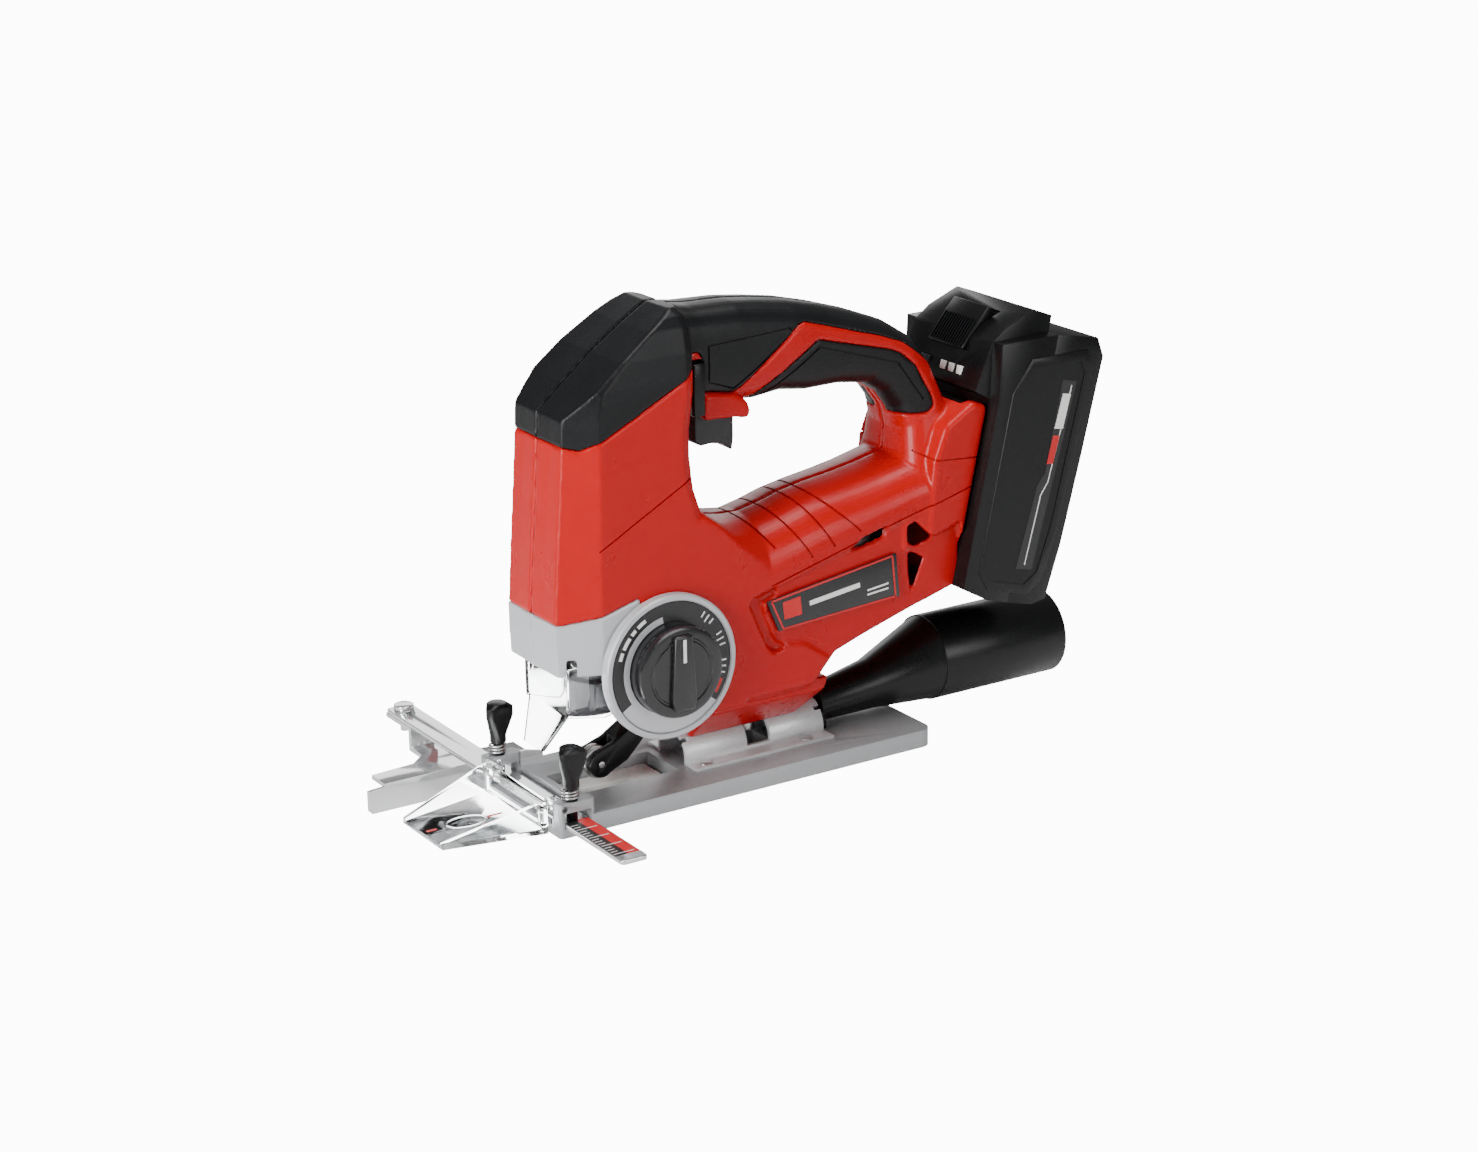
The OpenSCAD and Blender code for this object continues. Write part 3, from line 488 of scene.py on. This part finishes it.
# Each skin is melted to even quads, so its edges take the soft radius of a moulding, and the
# right side is the same moulding on the other side of the middle plane.
for piece, grain in ((left, 0.92), (hood, 0.8), (pads, 0.7), (cover, 0.6)):
    melt(piece, grain)
core = housing_half(0.75, 5)
scored(left, [[(64.4, 121), (75.1, 105.6), (77, 102.8)], [(76.8, 124.4), (94.4, 96.3)],
              [(89, 127.2), (105.8, 99.1)], [(99.3, 123), (119.4, 103.4)]], core)
scored(left, [[(-10.1, 117.9), (34.6, 142)], [(73.2, 87.4), (118.5, 99.3), (182.5, 115.6)],
              [(135.8, 141.5), (158.1, 128.8), (184, 126.5)]],
       core, 0.8, -18)
scored(hood, [[(50.3, 193.4), (90.8, 195.1), (92.3, 193.2), (77.1, 182.5), (63.1, 173.1), (50.4, 178),
               (50.3, 193.4)]], core, 0.8, -6)
scored(pads, [[(78.9, 166.8), (105.9, 184.7), (145.6, 172.2), (158.5, 153.9)]], core, 0.8, -6)
bpy.data.objects.remove(core)
hood = joined("hood_skin", [hood, mirror_copy(hood, "hood_right")])
pads = joined("grip_pads", [pads, mirror_copy(pads, "pads_right")])
cover = joined("cover_skin", [cover, mirror_copy(cover, "cover_right")])
right_side = mirror_copy(left, "housing_right")
left.name = "housing_left"


def turned(name, profile, centre, count=96, closed=False):
    """A profile of (radius, along) pairs spun about a crosswise axis through the centre."""
    rings = []
    for radius, along in profile + profile[:1] * closed:
        ring = []
        for i in range(count):
            turn = 2 * math.pi * i / count
            ring.append((centre[0] + radius * math.cos(turn), centre[1] + along,
                         centre[2] + radius * math.sin(turn)))
        rings.append(ring)
    return loft(name, rings)


DIAL = (20.2, 0, 63.4)
ring = turned("dial_ring", [(28.75, -31.2), (28.75, -32.5), (29.2, -33), (30.9, -33), (31.6, -32.3),
                            (31.6, -28.8), (30.4, -28.2), (30.4, -27.4), (8.2, -27.4), (8.2, -31.2)], DIAL,
                            closed=True)
cover = joined("cover_skin", [cover, ring])


def surface(name, colour, rough, metal=0.0, grain=1400.0, depth=0.12, tone=0.10, wear=0.14,
            stretch=(1, 1, 1), coat=0.0, shine=0.4):
    """A finish drawn from object coordinates: fine grain in relief, broad change of tone and gloss."""
    material, tree, shader = nodes_of(name)
    new, link = tree.nodes.new, tree.links.new
    coords, squeeze = new("ShaderNodeTexCoord"), new("ShaderNodeMapping")
    squeeze.inputs["Scale"].default_value = stretch
    link(coords.outputs["Object"], squeeze.inputs["Vector"])
    fine, broad = new("ShaderNodeTexNoise"), new("ShaderNodeTexNoise")
    for noise, size, detail in ((fine, grain, 4), (broad, 45, 3)):
        noise.inputs["Scale"].default_value = size
        noise.inputs["Detail"].default_value = detail
        link(squeeze.outputs["Vector"], noise.inputs["Vector"])
    relief = new("ShaderNodeBump")
    relief.inputs["Strength"].default_value = depth
    relief.inputs["Distance"].default_value = 0.0003
    link(fine.outputs["Fac"], relief.inputs["Height"])
    link(relief.outputs["Normal"], shader.inputs["Normal"])
    gloss = new("ShaderNodeMapRange")
    gloss.clamp = False
    gloss.inputs["From Min"].default_value, gloss.inputs["From Max"].default_value = 0.15, 0.85
    gloss.inputs["To Min"].default_value = max(rough - wear / 2, 0.02)
    gloss.inputs["To Max"].default_value = min(rough + wear / 2, 1)
    link(broad.outputs["Fac"], gloss.inputs["Value"])
    link(gloss.outputs["Result"], shader.inputs["Roughness"])
    shade = new("ShaderNodeMix")
    shade.data_type = "RGBA"
    shade.inputs["A"].default_value = (*[c * (1 - tone) for c in colour], 1)
    shade.inputs["B"].default_value = (*[min(c * (1 + tone), 1) for c in colour], 1)
    link(broad.outputs["Fac"], shade.inputs["Factor"])
    link(shade.outputs["Result"], shader.inputs["Base Color"])
    shader.inputs["Metallic"].default_value = metal
    shader.inputs["Specular IOR Level"].default_value = shine
    shader.inputs["Coat Weight"].default_value = coat
    shader.inputs["Coat Roughness"].default_value = 0.25
    return material


def dressed(piece, material, body=None, angle=35):
    """The piece takes its material, is shaded smooth where it is nearly flat, and rides its body."""
    piece.data.materials.clear()
    piece.data.materials.append(material)
    active(piece)
    bpy.ops.object.shade_smooth_by_angle(angle=math.radians(angle))
    if body:
        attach(piece, body)
    return piece


red = surface("red_nylon", (0.43, 0.0015, 0.002), 0.30, depth=0.08, tone=0.05, shine=0.26)
rubber = surface("black_overmould", (0.0035, 0.0038, 0.0046), 0.40, grain=900, depth=0.2, tone=0.2,
                 shine=0.28)
silver = surface("painted_silver", (0.50, 0.51, 0.53), 0.36, metal=0.35, grain=2600, depth=0.08, tone=0.05)
for piece, material, slot in ((left, red, "shell"), (right_side, red, "shell"), (hood, rubber, "soft_grip"),
                              (pads, rubber, "soft_grip"), (cover, silver, "silver_cover")):
    dressed(piece, material, "tool")
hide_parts("shell_left")
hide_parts("shell_right")
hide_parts("hood_grip")
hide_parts("handle_pads")
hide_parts("gear_cover")

# ---- Seam tongue ----
# A thin rib of the mouldings that bridges the seam from behind, as the halves of such a
# housing have, so that no light passes between them. It runs up the front of the head and
# over its top. It is coloured black rubber, not red, so the seam line shows as painted shade.
tongue = housing_half(1.5, 1.5)
tongue.name = "seam_tongue"
carve(tongue, housing_half(3.2, 5))
pressed(tongue, [(-45, 74), (-6, 74), (-6, 165), (24, 200), (34, 200), (34, 230), (-45, 230)], -1.5, 5,
        "INTERSECT")
# black rubber on the rib is painted shade in the seam gap
dressed(tongue, rubber, "tool")

# ---- Selector, dial plate and name plates ----
# The orbital selector is a turned disc with a pointer arm; the plate behind it carries plain
# printed marks, and the name plates are left without lettering.
paint_white = surface("white_print", (0.78, 0.78, 0.76), 0.45, depth=0.03, tone=0.03)
paint_red = surface("red_print", (0.55, 0.012, 0.014), 0.4, depth=0.03, tone=0.05)
plate_black = surface("printed_plate", (0.011, 0.011, 0.012), 0.3, grain=2200, depth=0.05, coat=0.3)
gloss_black = surface("polished_nylon", (0.008, 0.008, 0.009), 0.22, depth=0.04, coat=0.5)
PLATE_FACE = -32.3  # just under the dial plate's face, where its printing starts
disc = turned("selector_disc", [(0.01, -32.8), (19.4, -32.8), (20, -33.4), (20, -39.6), (19.6, -40.5),
                                (18.6, -41), (15.4, -41), (14.9, -40.5), (14.1, -40.5), (13.6, -41),
                                (0.01, -41)], DIAL)
shaft = turned("selector_shaft", [(0.01, -32.9), (7.9, -32.9), (7.9, -20.4), (7.5, -20), (0.01, -20)], DIAL,
               count=48)
arm = eased(slab("pointer_arm", [(15.4, 47.2), (25, 47.2), (26.2, 52), (24.4, 80.2), (16, 80.2),
                                 (14.2, 52)], "Y", -43.4, -40.6), 1, 3)
knob = joined("selector_piece", [disc, shaft, arm])
dressed(knob, gloss_black, "selector")
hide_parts("selector_knob")
index = eased(slab("selector_index", strip((20.2, 68.5), (20.2, 78.6), 1.5), "Y", -43.52, -43.2), 0.05, 1)
dressed(index, paint_white, "selector")
plate = turned("dial_plate", [(8.2, -31.2), (28.5, -31.2), (28.6, -31.3), (28.6, -32.2), (28.4, -32.4),
                              (8.2, -32.4)], DIAL, closed=True)
dressed(plate, plate_black, "tool")
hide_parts("mode_dial_plate")


def on_dial(angle, radius):
    turn = math.radians(angle)
    return (DIAL[0] + radius * math.cos(turn), DIAL[2] + radius * math.sin(turn))


def band_on_dial(start, end, inner, outer, steps=14):
    turns = [start + (end - start) * i / steps for i in range(steps + 1)]
    return [on_dial(a, outer) for a in turns] + [on_dial(a, inner) for a in reversed(turns)]


silver_bands = joined("dial_silver", [slab("band", band_on_dial(100, 212, 20.4, 23.2), "Y", -32.5,
                                           PLATE_FACE),
                                      slab("band", band_on_dial(212, 318, 20.4, 28.5), "Y", -32.5,
                                           PLATE_FACE)])
dressed(silver_bands, silver, "tool")
marks = []
for angle, inner, outer in [(52, 24.2, 27), (46, 23.4, 27), (40, 24.2, 27), (24, 24.2, 27), (18, 23.4, 27),
                            (12, 24.2, 27), (-4, 24.2, 27), (-10, 23.4, 27), (-16, 24.2, 27)]:
    marks.append(slab("mark", strip(on_dial(angle, inner), on_dial(angle, outer), 0.7), "Y", -32.52,
                      PLATE_FACE))
for start, end in ((118, 128), (131, 137), (140, 152), (155, 163)):
    marks.append(slab("mark", band_on_dial(start, end, 25, 26.6, 4), "Y", -32.52, PLATE_FACE))
dressed(joined("dial_marks", marks), paint_white, "tool")
dressed(slab("dial_red_mark", band_on_dial(-36, -22, 24.6, 26.8, 5), "Y", -32.52, PLATE_FACE), paint_red,
        "tool")
face = [(70, 81), (137.5, 90.6), (139.4, 70.4), (76, 66.6)]
middle = (105.7, 77.2)


def toward(outline, amount):
    return [(x + (middle[0] - x) * amount / math.hypot(x - middle[0], z - middle[1]),
             z + (middle[1] - z) * amount / math.hypot(x - middle[0], z - middle[1])) for x, z in outline]


PRINT = (-28.72, -28.5)
panel = eased(slab("name_plate", toward(face, 0.3), "Y", -28.6, -27.6), 0.25, 2)
frames, prints = [], []
line = toward(face, 2.6)
for a, b in zip(line, line[1:] + line[:1]):
    frames.append(slab("frame", strip(a, b, 0.8), "Y", *PRINT))
frames.append(slab("frame", [(79, 71.6), (88, 72.3), (87.2, 80.6), (78.2, 79.4)], "Y", *PRINT))
for a, b, width in (((92, 76.4), (118, 79.7), 2.2), ((122, 76.4), (133, 77.6), 0.8),
                    ((122, 74.4), (133, 75.4), 0.8)):
    prints.append(slab("print", strip(a, b, width), "Y", *PRINT))
for name, parts, material in (("name_plate_pair", [panel], plate_black),
                              ("name_plate_frames", frames, paint_red),
                              ("name_plate_bars", prints, paint_white)):
    near = joined(name, parts)
    pair = joined(name, [near, mirror_copy(near, "far")])
    dressed(pair, material, "tool")
    if name == "name_plate_pair":
        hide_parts("name_plates")

# ---- Shoe, bevel saddle and splinter insert ----
# The shoe is an aluminium casting with a round-backed saddle screwed to it. A white acetal
# insert fills its blade slot, and one screw and a plate hold the body at its tilt.
cast = surface("cast_aluminium", (0.34, 0.35, 0.36), 0.42, metal=0.45, grain=700, depth=0.35, tone=0.08)
cast_pale = surface("bright_casting", (0.66, 0.67, 0.68), 0.36, metal=0.4, grain=800, depth=0.4, tone=0.06)
white_nylon = surface("white_acetal", (0.78, 0.78, 0.75), 0.4, depth=0.05, tone=0.04)
steel = surface("zinc_plated_steel", (0.56, 0.56, 0.55), 0.28, metal=1.0, grain=1800, depth=0.08,
                stretch=(0.15, 1, 1))


NEARLY_FLAT = 40


def refined(node, width, material):
    """The CAD part itself with its facets merged and its edges eased."""
    source = frame["nodes"][node]
    body = source["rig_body"]
    piece = copy_of(source, node + "_fine")
    for key in list(piece.keys()):
        del piece[key]
    piece.parent = None
    piece.matrix_world = Matrix.Identity(4)
    active(piece)
    bpy.ops.object.mode_set(mode="EDIT")
    bpy.ops.mesh.select_all(action="SELECT")
    bpy.ops.mesh.remove_doubles(threshold=1e-6)
    bpy.ops.mesh.dissolve_limited(angle_limit=math.radians(0.5))
    bpy.ops.object.mode_set(mode="OBJECT")
    if width:
        eased(piece, width, smooth=NEARLY_FLAT)
    dressed(piece, material, body, angle=NEARLY_FLAT)
    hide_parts(node)
    return piece


for node, width, material in [
        ("base_plate", 0.8, cast),
        ("bevel_saddle", 0.7, cast_pale),
        ("splinter_insert", 0.3, white_nylon),
        ("saddle_screws", 0.2, steel),
        ("bevel_screw", 0.25, steel),
        ("bevel_clamp_plate", 0.3, steel)]:
    refined(node, width, material)

# ---- Parallel guide ----
# A chromed steel bar with a fence of the same steel riveted to its end. Its printed scale
# is a black and a red band with pale ticks.
chrome = surface("chromed_steel", (0.80, 0.81, 0.82), 0.14, metal=0.88, grain=900, depth=0.03, wear=0.08,
                 stretch=(0.1, 1, 1))
for node, width, material in [
        ("guide_bar", 0.35, chrome),
        ("guide_fence", 0.5, chrome),
        ("guide_pivot_pin", 0.4, chrome)]:
    refined(node, width, material)
BAR_END, SCALE_START, SCALE_END = -81, -75, -33
BAR_TOP = 6.3
bands = [("bar_scale_black", [(-33.6, SCALE_START), (-28, SCALE_START), (-28, SCALE_END),
                              (-33.6, SCALE_END)], plate_black),
         ("bar_scale_red", [(-28, SCALE_START), (-22.4, SCALE_START), (-22.4, SCALE_END), (-28, SCALE_END)],
          paint_red)]
for name, outline, material in bands:
    dressed(slab(name, outline, "Z", BAR_TOP, 6.35), material, "guide")
ticks = [slab("tick", [(-33.4, y - 0.25), (-33.4 + reach, y - 0.25), (-33.4 + reach, y + 0.25),
                       (-33.4, y + 0.25)], "Z", BAR_TOP, 6.38)
         for y, reach in [(BAR_END + 8 + 2.5 * i, 9.5 if i % 4 == 0 else 3.2) for i in range(15)]]
dressed(joined("bar_scale_ticks", ticks), paint_white, "guide")

# ---- Clamp knobs and their springs ----
# Two moulded black nylon knobs that clamp the bar. Under each is a compression spring of
# round steel wire, wound about three turns, with its ends laid flat.
black = surface("black_nylon", (0.003, 0.003, 0.0034), 0.30, grain=1500, depth=0.12, tone=0.2, shine=0.32)
for node, width, material in [
        ("clamp_knob_left", 0.9, black),
        ("clamp_knob_right", 0.9, black)]:
    refined(node, width, material)


def coil(name, centre, radius, wire, low, high, turns, around=14):
    rings, steps = [], int(turns * 28)
    for i in range(steps + 1):
        turn = 2 * math.pi * turns * i / steps
        rise_at = low + (high - low) * min(max((i / steps - 0.06) / 0.88, 0), 1)
        out = Vector((math.cos(turn), math.sin(turn), 0))
        heart = Vector((centre[0], centre[1], rise_at))
        ring = []
        for k in range(around):
            lean = 2 * math.pi * k / around
            ring.append(tuple(heart + out * (radius + wire * math.cos(lean))
                              + Vector((0, 0, wire * math.sin(lean)))))
        rings.append(ring)
    return loft(name, rings)


WIRE = 0.55  # half the wire's thickness
spring_low, spring_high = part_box("knob_springs")
springs = []
for knob_node in ("clamp_knob_left", "clamp_knob_right"):
    low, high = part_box(knob_node)
    middle_y = (low.y + high.y) / 2 / MM
    springs.append(coil("knob_coil", (-29, middle_y), 3.3, WIRE, spring_low.z / MM + WIRE,
                        spring_high.z / MM - WIRE, 3.2))
springs = joined("knob_coils", springs)
dressed(springs, steel, frame["nodes"]["knob_springs"]["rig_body"])
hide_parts("knob_springs")

# ---- Sight guide ----
# A clear polycarbonate plate on two steel pins, with two red lines printed on its centre
# and a raised oval between them.
clear = surface("clear_polycarbonate", (0.93, 0.945, 0.95), 0.04, depth=0.015, tone=0.005, wear=0.02)
clear_shader = clear.node_tree.nodes["Principled BSDF"]
clear_shader.inputs["Transmission Weight"].default_value = 1
clear_shader.inputs["IOR"].default_value = 1.3
for node, width, material in [
        ("sight_guide", 0.35, clear),
        ("sight_guide_pins", 0.2, steel)]:
    refined(node, width, material)
SIGHT_TOP = 2.2
sight_marks = [slab("sight_mark", [(x0, -w), (x1, -w), (x1, w), (x0, w)], "Z", SIGHT_TOP, 2.32) for x0, x1,
               w in ((-80.5, -76, 0.7), (-53, -45, 0.7))]
dressed(joined("sight_red_marks", sight_marks), paint_red, "sight")
oval = []
for i in range(33):
    turn = 2 * math.pi * i / 32
    oval.append([(-62 + (9 + 0.4 * math.cos(k)) * math.cos(turn),
                  (5.5 + 0.4 * math.cos(k)) * math.sin(turn), SIGHT_TOP + 0.35 * math.sin(k))
                 for k in [2 * math.pi * j / 8 for j in range(8)]])
dressed(loft("sight_oval", oval), clear, "sight")

# ---- Dust adapter ----
# A black nylon tube with a narrow neck that pushes in low down behind the saddle. Its
# wide end takes a vacuum hose.
for node, width, material in [
        ("dust_tube", 0.5, black)]:
    refined(node, width, material)

# ---- Blade clamp, roller and guard ----
# The collar turns to free the blade. A steel roller in a nylon fork backs the blade up,
# and a clear guard slides in front of it.
grey_nylon = surface("grey_nylon", (0.022, 0.022, 0.025), 0.38, depth=0.12)
for node, width, material in [
        ("clamp_collar", 0.4, grey_nylon),
        ("blade_clamp", 0.3, steel),
        ("roller_fork", 0.4, black),
        ("guide_roller", 0.25, steel),
        ("roller_pin", 0.2, steel),
        ("fork_pin", 0.2, steel),
        ("blade_guard", 0.4, clear)]:
    refined(node, width, material)

# ---- Trigger, lock-off button and switch ----
# Moulded nylon controls. The trigger is pushed up against a steel spring and works the
# switch in the handle, and the lock-off button slides across in its slot.
for node, width, material in [
        ("trigger", 0.9, grey_nylon),
        ("lock_off_button", 0.7, black),
        ("trigger_switch", 0.4, black)]:
    refined(node, width, material)


def sprung(node):
    """The CAD spring dressed in steel, with a mesh of its own."""
    spring = refined(node, 0, steel)
    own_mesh(spring)


sprung("trigger_spring")

# ---- Motor, gearbox and plunger ----
# A motor in a plated steel can turns a crank gear through a pinion, and a crank pin moves
# the plunger up and down in sintered bronze bushes.
bronze = surface("sintered_bronze", (0.42, 0.25, 0.11), 0.45, metal=0.9, grain=2500, depth=0.3)
copper = surface("enamelled_copper", (0.50, 0.19, 0.07), 0.3, metal=0.8, grain=1200, depth=0.5,
                 stretch=(1, 0.2, 0.2))
for node, width, material in [
        ("motor_can", 0.3, steel),
        ("motor_end_cap", 0.4, black),
        ("motor_rotor", 0.3, copper),
        ("motor_pinion", 0.15, steel),
        ("motor_fan", 0.2, white_nylon),
        ("crank_gear", 0.15, steel),
        ("crank_pin", 0.2, steel),
        ("gear_axle", 0.2, steel),
        ("gearbox_frame", 0.5, cast_pale),
        ("plunger_bushes", 0.2, bronze),
        ("plunger_rod", 0.25, steel),
        ("plunger_yoke", 0.3, steel)]:
    refined(node, width, material)

# ---- Control board, terminals and work light ----
# A green circuit board drives the motor, a nylon block takes the battery's contacts, and
# a small lamp sits behind a clear lens.
board = surface("solder_mask_green", (0.01, 0.13, 0.05), 0.35, grain=500, depth=0.2, coat=0.4)
for node, width, material in [
        ("control_board", 0.15, board),
        ("terminal_block", 0.3, black),
        ("led_lamp", 0.15, white_nylon),
        ("led_lens", 0.2, clear)]:
    refined(node, width, material)

# ---- Battery pack ----
# Two black nylon cases screwed together round ten sleeved cells and a board, with a latch,
# a charge button and three lights.
wrap = surface("cell_sleeve", (0.03, 0.16, 0.22), 0.32, depth=0.05, tone=0.05)
for node, width, material in [
        ("battery_rear_case", 2.0, black),
        ("battery_front_case", 1.6, black),
        ("battery_latch", 0.5, black),
        ("charge_button", 0.3, grey_nylon),
        ("charge_lights", 0.15, white_nylon),
        ("battery_screws", 0.15, steel),
        ("battery_cells", 0.5, wrap),
        ("battery_board", 0.15, board)]:
    refined(node, width, material)
sprung("latch_spring")

# ---- Panels and ribs of the battery ----
# A raised panel on each side with a dark strip, a hair line and two plain tags printed on
# it, and moulded ribs across the latch.


def on_pack(name, outline, low, high):
    """A slab drawn in the battery's own leaning frame, as (s, t) pairs."""
    return slab(name, [foot_spot(s, t) for s, t in outline], "Y", low, high)


near = on_pack("side_panel", [(7, 3), (13, -4), (36, -5.4), (43, 2), (46, 24), (48.5, 98), (44, 106.5),
                              (14, 100), (7, 84)], -36.0, -35.2)
panel = eased(near, 0.45, 2)
carve(panel, on_pack("field", [(10, 5), (15, 0), (33, -1), (39, 5), (42, 26), (44.5, 96), (41, 101),
                               (16, 95.5), (10, 82)], -37, -35.7))
stripe = on_pack("strip_label", [(27, 6), (36, 6), (41, 92), (33, 92), (33, 50), (30, 44)], -35.82, -35.6)
bends = [(31.4, 8), (33, 40), (35.6, 46), (38.6, 90)]
hair_lines = [on_pack("hair_line", strip(a, b, 0.5), -35.9, -35.7) for a, b in zip(bends, bends[1:])]
tag = on_pack("tag", [(33.6, 70), (38.2, 70.4), (39, 86), (34.6, 86)], -35.92, -35.7)
tag_red = on_pack("tag_red", [(33, 54), (36.4, 54.4), (37.2, 67), (33.6, 67)], -35.92, -35.7)
for name, parts, material in (("battery_side_panels", [panel], black),
                              ("battery_strip_labels", [stripe], plate_black),
                              ("battery_hair_lines", hair_lines, paint_white),
                              ("battery_tags", [tag], paint_white),
                              ("battery_tags_red", [tag_red], paint_red)):
    near = joined(name, parts)
    dressed(joined(name, [near, mirror_copy(near, "far")]), material, "battery")
ribs = []
for i in range(13):
    y = -10.8 + 1.8 * i
    ribs.append(on_pack("rib", [(-7, 99.3), (-1.0, 111.2), (-1.55, 111.5), (-7.55, 99.6)], y - 0.4,
                        y + 0.4))
dressed(joined("latch_ribs", ribs), black, "latch")

# ---- Housing screws ----
# Plated steel screws that hold the two halves together. The one beside the hand hole sits
# lower and further forward than in the frame, so that it stays under the softer skin.
SCREW_X, SCREW_Z, NEAR = 46 * MM, 122 * MM, 5 * MM
fine = refined("shell_screws", 0.2, steel)
for vertex in fine.data.vertices:
    if abs(vertex.co.x - SCREW_X) < NEAR and abs(vertex.co.z - SCREW_Z) < NEAR:
        vertex.co += Vector((-4, 0, -9)) * MM
